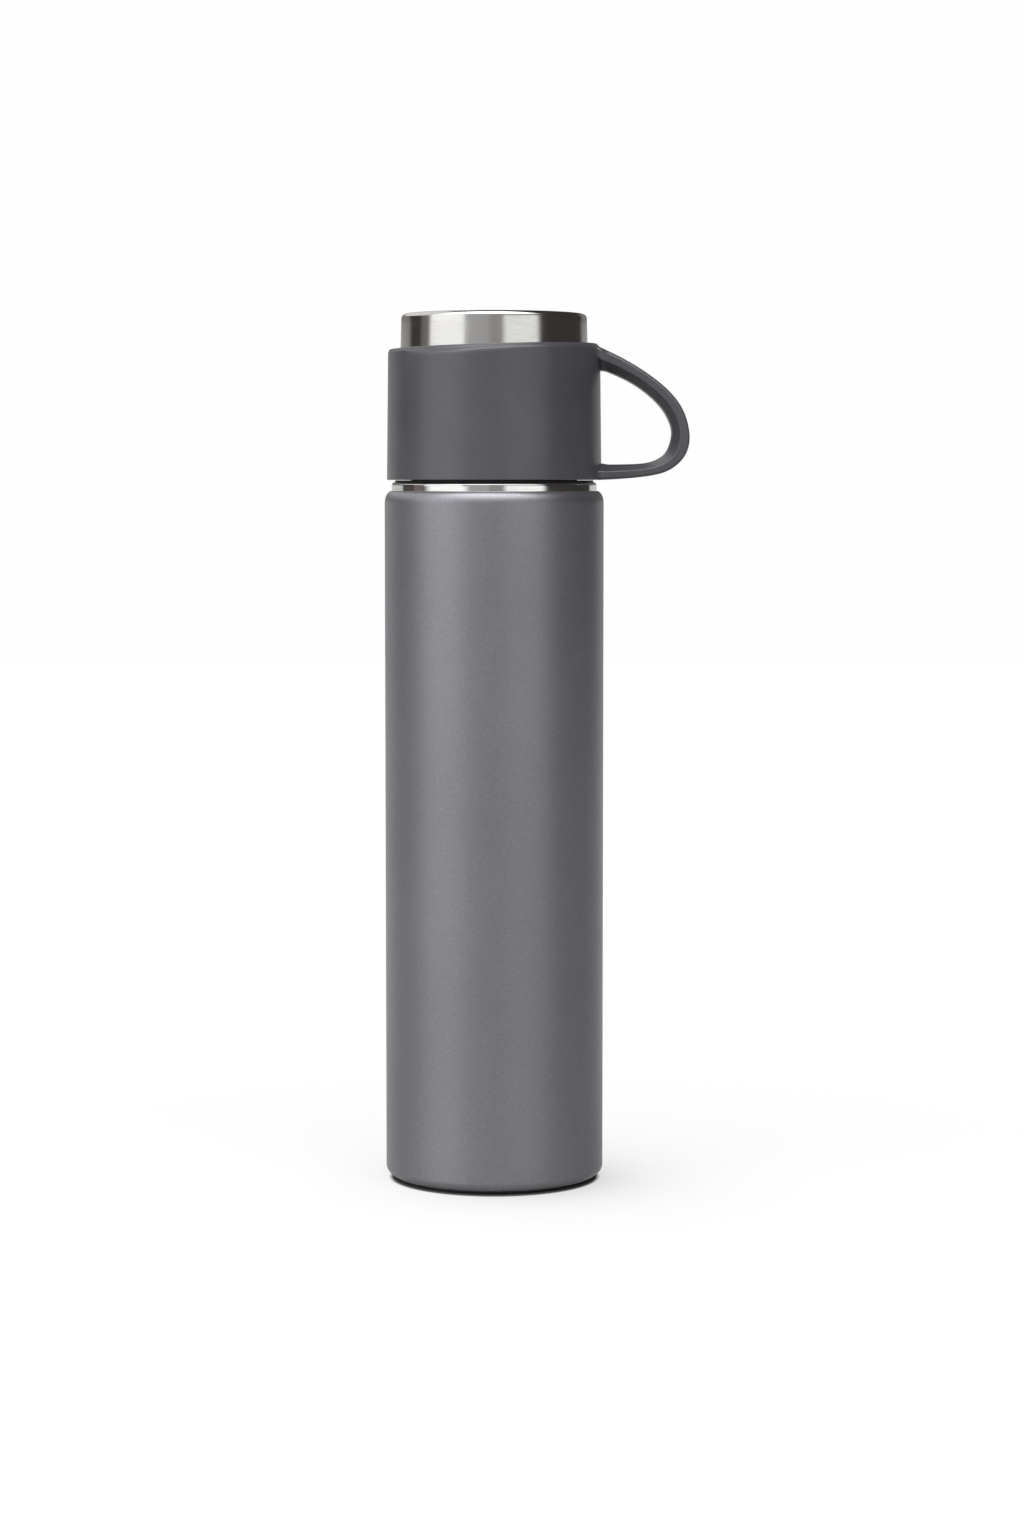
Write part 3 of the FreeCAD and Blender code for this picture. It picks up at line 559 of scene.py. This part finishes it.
def foot_pad():
    """Silicone foot: a disc with a rounded edge and a shallow ring groove underneath."""
    groove = pad_r - PAD_GROOVE_IN
    roof = pad_low + PAD_GROOVE_DEEP
    section = outline((FAN_R, pad_top), (pad_r, pad_top, 0.1), (pad_r, pad_low, PAD_CORNER), (groove, pad_low),
                      (groove, roof), (groove - PAD_GROOVE_WIDE, roof), (groove - PAD_GROOVE_WIDE, pad_low),
                      (FAN_R, pad_low), closed=False)
    piece("foot_pad_ribbed", turned(section), "flask", "black_silicone", "foot_pad", capped=True)


# ---- cup -------------------------------------------------------------------------------------
def cup_liner():
    """Drawn steel cup upside down: drafted side, rounded corner and a shallow step pressed into the end."""
    step_r = liner_r(cup_top) - END_RECESS_IN
    sunk = cup_top - END_RECESS
    floor_r = liner_r(cup_top - STEEL_WALL) - STEEL_WALL
    step_top_r = step_r + END_RECESS_SLOPE
    side_r = liner_r(liner_low)
    section = outline((FAN_R, sunk), (step_r, sunk, PRESSED_CORNER), (step_top_r, cup_top, PRESSED_CORNER),
                      (liner_r(cup_top), cup_top, LINER_CORNER), (side_r, liner_low, LIP_CORNER),
                      (side_r - STEEL_WALL, liner_low, LIP_CORNER),
                      (floor_r, cup_top - STEEL_WALL, LINER_CORNER - STEEL_WALL),
                      (step_top_r, cup_top - STEEL_WALL, PRESSED_CORNER_IN),
                      (step_r, sunk - STEEL_WALL, PRESSED_CORNER_IN), (FAN_R, sunk - STEEL_WALL), closed=False)
    piece("cup_liner_satin", turned(section), "cup", "satin_steel", "cup_liner", capped=True)


def sleeve_inside():
    """Inside of the jacket from its lower edge up: ring seat, seal groove, hollow wall, fit to the liner."""
    fit = LINER_FIT
    collar = seal_top + SLEEVE_WALL
    roof = cup_top - SLEEVE_DROP - SLEEVE_WALL - SLANT_ROOM
    upper = roof + ROOF_FIT
    return outline((sleeve_rim_r - RIM_LAND, cup_rim_z), (rim_ring_r, cup_rim_z), (rim_ring_r, rim_ring_top),
                   (seal_r + fit, rim_ring_top), (seal_r + fit, seal_top), (liner_r(seal_top) + fit, seal_top),
                   (liner_r(collar) + fit, collar), (sleeve_r(collar) - SLEEVE_WALL, collar, SLEEVE_CORNER_IN),
                   (sleeve_r(roof) - SLEEVE_WALL, roof, SLEEVE_CORNER_IN), (liner_r(roof) + fit, roof),
                   (liner_r(upper) + fit, upper), closed=False)


def cup_sleeve():
    """Moulded jacket: for each azimuth a the side r = sleeve_r(z) runs up to a slanted edge.

    The edge's height is T(a) = T0 + x tan s, with s the slant. Below it the side turns in over a quarter
    ellipse to a small ledge, and a band set back by the ledge runs on up to the edge. The ledge's depth below
    the edge follows a smooth curve over the azimuth: it starts near the far side, dips, and runs out narrow
    towards the handle.
    """
    a = np.arange(SLEEVE_COLUMNS) * 2 * math.pi / SLEEVE_COLUMNS
    from_far = np.degrees(math.pi - np.abs((a + math.pi) % (2 * math.pi) - math.pi))
    top = cup_top - SLEEVE_DROP + sleeve_r(sleeve_top) * np.cos(a) * SLEEVE_SLANT
    depths = [1.0, 1.15, 1.35, 0.95, 0.62, 0.46, 0.4, 0.38, 0.38, 0.38]
    depth = through(depths, (from_far - LEDGE_START) / (180 - LEDGE_START))[:, 0]
    inset = LEDGE_IN * smooth(*LEDGE_FADE, from_far)
    corner = np.minimum(BAND_CORNER, BAND_CORNER_SHARE * depth)
    rows = []
    bottom_arc = np.linspace(-math.pi / 2, 0, ARC_STEPS)
    low_centre = sleeve_rim_r - RIM_CORNER
    for angle in bottom_arc:
        rows.append((low_centre + RIM_CORNER * math.cos(angle) + 0 * a,
                     cup_rim_z + RIM_CORNER * (1 + math.sin(angle)) + 0 * a))
    step_low_z = top - depth - LEDGE_ROUND
    start_z = cup_rim_z + RIM_CORNER
    for share in (1 - np.cos(np.linspace(0, math.pi, SIDE_STEPS)[1:])) / 2:
        z = start_z + share * (step_low_z - start_z)
        rows.append((sleeve_r(z), z))
    for angle in np.linspace(0, math.pi / 2, LEDGE_STEPS)[1:]:
        z = step_low_z + LEDGE_ROUND * math.sin(angle)
        rows.append((sleeve_r(z) - inset * (1 - math.cos(angle)), z))
    arc_low = top - corner
    land_out = sleeve_r(top) - inset - LEDGE_TILT * depth - corner
    for share in (0.08, 0.5, 0.95):
        z = top - depth + share * (arc_low - top + depth)
        rows.append((sleeve_r(z) - inset - LEDGE_TILT * share * depth, z))
    for angle in np.linspace(0, math.pi / 2, ARC_STEPS):
        rows.append((land_out + corner * math.cos(angle), arc_low + corner * math.sin(angle)))
    land_in = liner_r(top) + LINER_FIT + LAND_CORNER
    for share in (0.06, 0.35, 0.65, 0.94, 1.0):
        rows.append((land_out + share * (land_in - land_out), top))
    for angle in np.linspace(0, math.pi / 2, 5)[1:]:
        rows.append((land_in - LAND_CORNER * math.sin(angle), top - LAND_CORNER * (1 - math.cos(angle))))
    outside = np.stack([np.stack([r * np.cos(a), r * np.sin(a), z + 0 * a], axis=-1) for r, z in rows])
    inside = turned(sleeve_inside(), SLEEVE_COLUMNS)[::-1]
    piece("cup_sleeve_moulded", np.concatenate([outside, inside]), "cup", "sleeve_grey", "cup_sleeve")


def cup_handle():
    """D handle: one section carried between two smooth outlines in the plane y = 0.

    Outer and inner outlines run from the upper root to the lower, as shares of the handle's reach and rise. A
    section point (s, y) lies at middle + s half, where middle and half come from the two outlines at the same
    share. Both ends are sunk in the jacket's wall and flare a little where they leave it.
    """
    outer_shares = [(-0.06, 1.02), (0.25, 0.92), (0.53, 0.805), (0.755, 0.683), (0.926, 0.53), (1.0, 0.338),
                    (0.955, 0.194), (0.83, 0.101), (0.62, 0.041), (0.25, 0.01), (-0.06, 0.0)]
    inner_shares = [(-0.06, 0.858), (0.235, 0.775), (0.465, 0.683), (0.665, 0.561), (0.775, 0.439),
                    (0.8, 0.338), (0.75, 0.225), (0.65, 0.163), (0.5, 0.13), (0.25, 0.12), (-0.06, 0.118)]
    reach = handle_tip - sleeve_rim_r
    scale, start = np.array([reach, HANDLE_RISE]), np.array([sleeve_rim_r, cup_rim_z])
    t = np.linspace(0, 1, HANDLE_STEPS)
    outer = start + through(outer_shares, t) * scale
    inner = start + through(inner_shares, t) * scale
    deep = HANDLE_DEPTH / 2
    waist = -HANDLE_WAIST * HANDLE_HALF
    section = outline((HANDLE_HALF, -deep, HANDLE_CORNER), (HANDLE_HALF, deep, HANDLE_CORNER),
                      (waist, deep, HANDLE_WAIST_CORNER),
                      (-HANDLE_HALF, HANDLE_INNER_HALF, HANDLE_INNER_CORNER),
                      (-HANDLE_HALF, -HANDLE_INNER_HALF, HANDLE_INNER_CORNER),
                      (waist, -deep, HANDLE_WAIST_CORNER))
    across, depth = section[:, 0] / HANDLE_HALF, section[:, 1]
    middle, half = (outer + inner) / 2, (outer - inner) / 2
    wall_r = sleeve_r(middle[:, 1])
    flare = np.exp(-(np.maximum(middle[:, 0] - wall_r, 0) / FLARE_REACH) ** 2)
    wide = 1 + FLARE_WIDE * flare[:, None]
    inward = np.where(across < 0, 1.0, 0.0)[None, :]
    lift = across[None, :] * (1 + FLARE_IN * flare[:, None] * inward)
    x = middle[:, :1] + lift * half[:, :1]
    z = middle[:, 1:] + lift * half[:, 1:]
    y = depth[None, :] * wide
    grid = np.stack([x, y + 0 * x, z], axis=-1)
    sunk_first, sunk_last = grid[:1] - [ROOT_SUNK, 0, 0], grid[-1:] - [ROOT_SUNK, 0, 0]
    piece("cup_handle_strap", np.concatenate([sunk_first, grid, sunk_last]), "cup", "sleeve_grey", "cup_sleeve",
          capped=True)


# ---- springs ---------------------------------------------------------------------------------
def coil(radius, wire_r, turns, length):
    """Compression spring along +Z: a wire carried round a helix whose pitch is small at both ends."""
    t = np.linspace(0, 1, turns * COIL_STEPS)
    pitch = smooth(0, END_SHARE, t) * smooth(0, END_SHARE, 1 - t) + CLOSED_PITCH
    rise = np.concatenate([[0], np.cumsum((pitch[1:] + pitch[:-1]) / 2)])
    centre_z = rise / rise[-1] * length
    a = t * turns * 2 * math.pi
    out = np.stack([np.cos(a), np.sin(a), 0 * a], axis=-1)
    centre = out * radius + np.stack([0 * a, 0 * a, centre_z], axis=-1)
    along = np.gradient(centre, axis=0)
    along /= np.linalg.norm(along, axis=1)[:, None]
    up = np.cross(along, out)
    b = (np.arange(WIRE_SIDES) * 2 * math.pi / WIRE_SIDES)[None, :, None]
    return centre[:, None] + wire_r * (np.cos(b) * out[:, None] + np.sin(b) * up[:, None])


def button_spring():
    """Return spring of the button, between the stem's guide and the button's underside."""
    low, high = (np.array(corner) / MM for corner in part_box("button_spring"))
    coil_r, wire_r, turns = 5.6, 0.35, 4
    grid = coil(coil_r, wire_r, turns, high[2] - low[2] - 2 * wire_r) + [0, 0, low[2] + wire_r]
    made = piece("button_spring_wire", grid, "stopper", "spring_steel", "button_spring", capped=True)
    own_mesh(made)


def key_spring():
    """Return spring of the release slide; the coil's +Z is laid along +X."""
    low, high = (np.array(corner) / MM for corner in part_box("key_spring"))
    coil_r, wire_r, turns = 1.2, 0.175, 6
    grid = coil(coil_r, wire_r, turns, high[0] - low[0] - 2 * wire_r)
    across, side, along = (grid[..., i] for i in range(3))
    grid = np.stack([along + low[0] + wire_r, side, (low[2] + high[2]) / 2 - across], axis=-1)
    made = piece("key_spring_wire", grid, "stopper", "spring_steel", "key_spring", capped=True)
    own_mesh(made)


for build in (body_shell, neck_shoulder, cup_seat, foot_pad, cup_liner, cup_sleeve, cup_handle, button_spring,
              key_spring):
    build()

for part in frame["record"]["subparts"]:
    kept = frame["nodes"][part["node"]]
    kept.data.materials.clear()
    kept.data.materials.append(FINISHES[part["material_slot"]])


# ---- studio ----------------------------------------------------------------------------------
FAR_WHITE = 0.991         # the backdrop, seen by the camera
# Light panels round the object: azimuth from the camera towards the handle's side, half width, soft edge,
# lower and upper height above the horizon, all in degrees, and the level.
PANELS = [
    (-61.0, 25.0, 3.0, 2.5, 50, 1.34),
    (-54.5, 26.0, 16.0, -32, 2.5, 1.34),
    (34.0, 23.0, 9.0, 3, 12, 1.15),
    (35.5, 22.5, 3.0, -32, 12, 0.5),
    (35.0, 24.0, 10.0, -2.0, 2.0, 1.4),
    (-20.0, 16.0, 5.0, -32, 50, 0.44),
    (0.0, 13.0, 6.0, -32, 50, 0.33),
    (-94.0, 8.0, 4.0, -32, 50, 0.18),
    (-102.0, 18.0, 8.0, -32, -1, 0.34),
    (-128.0, 42.0, 20.0, 14, 60, 0.9),
    (-8.0, 66.0, 26.0, 27, 84, 2.4),
    (-8.0, 66.0, 26.0, 44, 68, 4.2),
    (0.0, 200.0, 2.0, 84, 95, 1.0),
]
# The rear wall, which covers all that lies further round than an azimuth on either side: that azimuth, soft
# edge, lower and upper height above the horizon, all in degrees, and the level.
REAR = [
    (124.0, 8.0, -32, -3, 0.36),
    (138.0, 8.0, -32, -3, 0.9),
    (151.0, 10.0, -32, -3, 1.05),
    (130.0, 8.0, -3, 3, 0.66),
    (134.0, 8.0, 3, 20, 0.24),
]
REAR_TURN = 6.0           # how far the rear wall is turned, in degrees of azimuth
DARK = 0.045              # level between the panels
SOFT_HEIGHT = 4.0         # soft upper and lower edge of a panel, in degrees
SHADOW_HUE, LIGHT_HUE = (1.0, 0.87, 0.82, 1.0), (1.0, 0.997, 0.985, 1.0)
LIGHT_FROM = 0.5          # level from which the light has the light hue


def between(w, height, low, high):
    """1 between a low and a high elevation, with soft edges."""
    soft = SOFT_HEIGHT / 2
    above = w.ease(height, low - soft, low + soft)
    return w.math("MULTIPLY", above, w.ease(height, high - soft, high + soft, 1.0, 0.0))


def studio_light():
    """World: white for the camera, and soft panels by direction and a rear wall for all other rays."""
    world = bpy.data.worlds.new("Studio")
    bpy.context.scene.world = world
    world.use_nodes = True
    world.node_tree.nodes.clear()
    w = Wiring(world.node_tree)
    axes = w.node("ShaderNodeSeparateXYZ", {0: w.node("ShaderNodeTexCoord").outputs["Generated"]}).outputs
    azimuth = w.math("MULTIPLY", w.math("ARCTAN2", axes[0], w.math("MULTIPLY", axes[1], -1.0)), 180 / math.pi)
    height = w.math("MULTIPLY", w.math("ARCSINE", axes[2]), 180 / math.pi)
    level = DARK
    for start, soft, low, high, bright in REAR:
        away = w.math("ABSOLUTE", w.math("SUBTRACT", azimuth, REAR_TURN))
        across = w.ease(away, start - soft / 2, start + soft / 2, 0.0, bright)
        level = w.math("MAXIMUM", level, w.math("MULTIPLY", across, between(w, height, low, high)))
    for centre, half, soft, low, high, bright in PANELS:
        away = w.math("ABSOLUTE", w.math("SUBTRACT", azimuth, centre))
        across = w.ease(away, half - soft / 2, half + soft / 2, bright, 0.0)
        level = w.math("MAXIMUM", level, w.math("MULTIPLY", across, between(w, height, low, high)))
    hue = w.blend(w.ease(level, DARK, LIGHT_FROM), SHADOW_HUE, LIGHT_HUE)
    lights = w.node("ShaderNodeBackground", {"Color": hue, "Strength": level})
    seen = w.node("ShaderNodeBackground", {"Color": (1.0, 1.0, 1.0, 1.0), "Strength": FAR_WHITE})
    is_camera = w.node("ShaderNodeLightPath").outputs["Is Camera Ray"]
    mixed = w.node("ShaderNodeMixShader", {0: is_camera, 1: lights.outputs[0], 2: seen.outputs[0]})
    out = w.node("ShaderNodeOutputWorld")
    w.tree.links.new(mixed.outputs[0], out.inputs["Surface"])


FLOOR_R = 3.0             # metres
FLOOR_COLUMNS = 128
FLOOR_TONE = 0.12         # matt part of the floor's white, seen by the camera
FLOOR_GLOW = 0.872        # glowing part of it
FLOOR_BOUNCE = 0.5        # brightness of the floor for all other rays
FLOOR_OPEN = 0.3          # share of the floor that lets the panels' lower ends be mirrored by the object
SHADE_SHIFT = (0.009, -0.008)     # metres: the painted soft shadow lies a little to the front and the handle's side
SHADE_START = 0.029       # metres from the shade's middle at which it has its level
SHADE_FADE = 0.017        # metres over which it fades to 1/e
SHADE_LEVEL = 0.155
SHADE_MOST = 1.4          # its largest value, as a share of the level
PAINTED_CONTACT_SHADE_SHIFT = (0.0, -0.0016)    # metres: middle of the painted dark line of shade where the base meets the floor
PAINTED_CONTACT_SHADE_IN, PAINTED_CONTACT_SHADE_OUT = 2.2, -0.5     # where it starts and ends to fade, inside and outside the body's radius


def distance_on_floor(w, place, centre):
    """Distance of a floor point from a centre (x, y), in metres."""
    axes = w.node("ShaderNodeSeparateXYZ", {0: place}).outputs
    x, y = (w.math("SUBTRACT", axes[i], centre[i]) for i in range(2))
    return w.math("SQRT", w.math("ADD", w.math("MULTIPLY", x, x), w.math("MULTIPLY", y, y)))


def floor_finish():
    """Matt white sweep that glows like a lit table for the camera; a painted soft shadow round the base and a
    painted dark line of shade under its edge are taken off that glow.
    """
    made = bpy.data.materials.new("White sweep")
    made.use_nodes = True
    made.node_tree.nodes.clear()
    w = Wiring(made.node_tree)
    place = w.node("ShaderNodeTexCoord").outputs["Object"]
    tone = w.effect(UNEVEN, place, **{"Patches per metre": 3.0, "Low": 0.998, "High": 1.002}).outputs["Value"]
    # Painted shade: the glow is cut to dark in a ring under the base's edge.
    from_foot = distance_on_floor(w, place, PAINTED_CONTACT_SHADE_SHIFT)
    painted_contact_shade_mask = w.ease(from_foot, (body_r - PAINTED_CONTACT_SHADE_IN) * MM, (body_r + PAINTED_CONTACT_SHADE_OUT) * MM)
    # Painted soft shadow round the base: its level falls off with distance from a middle shifted to the front.
    from_base = distance_on_floor(w, place, SHADE_SHIFT)
    fade = w.math("EXPONENT", w.math("DIVIDE", w.math("SUBTRACT", SHADE_START, from_base), SHADE_FADE))
    painted_shadow_level = w.math("MULTIPLY", w.math("MINIMUM", fade, SHADE_MOST), SHADE_LEVEL)
    for_camera = w.node("ShaderNodeBsdfDiffuse", {"Color": w.blend(tone, grey(0.0), grey(FLOOR_TONE))})
    # The glow, less the painted soft shadow, and cut by the painted dark line of shade under the base.
    glow_level = w.math("MULTIPLY", painted_contact_shade_mask, w.math("SUBTRACT", FLOOR_GLOW, painted_shadow_level))
    glow = w.node("ShaderNodeEmission", {"Color": (1.0, 1.0, 1.0, 1.0), "Strength": glow_level})
    lit = w.node("ShaderNodeAddShader", {0: for_camera.outputs[0], 1: glow.outputs[0]})
    bounce = w.node("ShaderNodeBsdfDiffuse", {"Color": grey(FLOOR_BOUNCE)})
    open_floor = w.node("ShaderNodeBsdfTransparent")
    for_object = w.node("ShaderNodeMixShader", {0: FLOOR_OPEN, 1: bounce.outputs[0], 2: open_floor.outputs[0]})
    is_camera = w.node("ShaderNodeLightPath").outputs["Is Camera Ray"]
    mixed = w.node("ShaderNodeMixShader", {0: is_camera, 1: for_object.outputs[0], 2: lit.outputs[0]})
    out = w.node("ShaderNodeOutputMaterial")
    w.tree.links.new(mixed.outputs[0], out.inputs["Surface"])
    return made


def floor():
    """Round floor under the foot pad."""
    a = np.arange(FLOOR_COLUMNS) * 2 * math.pi / FLOOR_COLUMNS
    rim = np.stack([FLOOR_R * np.cos(a), FLOOR_R * np.sin(a), np.full_like(a, pad_low * MM)], axis=-1)
    mesh = bpy.data.meshes.new("floor")
    mesh.from_pydata(rim.tolist(), [], [list(range(FLOOR_COLUMNS))])
    mesh.materials.append(floor_finish())
    made = bpy.data.objects.new("floor", mesh)
    bpy.context.scene.collection.objects.link(made)


LENS_LENGTH = 82.45
SENSOR = 36.0
CAMERA_PLACE = (0.00528, -1.047, 0.2085)     # metres
CAMERA_TIP = 4.669        # degrees below level


def camera():
    """Long lens, a little above the ring's height and tipped down, as for a product picture."""
    lens = bpy.data.cameras.new("camera")
    lens.lens = LENS_LENGTH
    lens.sensor_width = SENSOR
    lens.clip_start, lens.clip_end = 0.05, 50.0
    made = bpy.data.objects.new("camera", lens)
    made.location = CAMERA_PLACE
    made.rotation_euler = (math.radians(90 - CAMERA_TIP), 0.0, 0.0)
    bpy.context.scene.collection.objects.link(made)
    bpy.context.scene.camera = made


studio_light()
floor()
camera()
bpy.context.scene.view_settings.view_transform = "Standard"
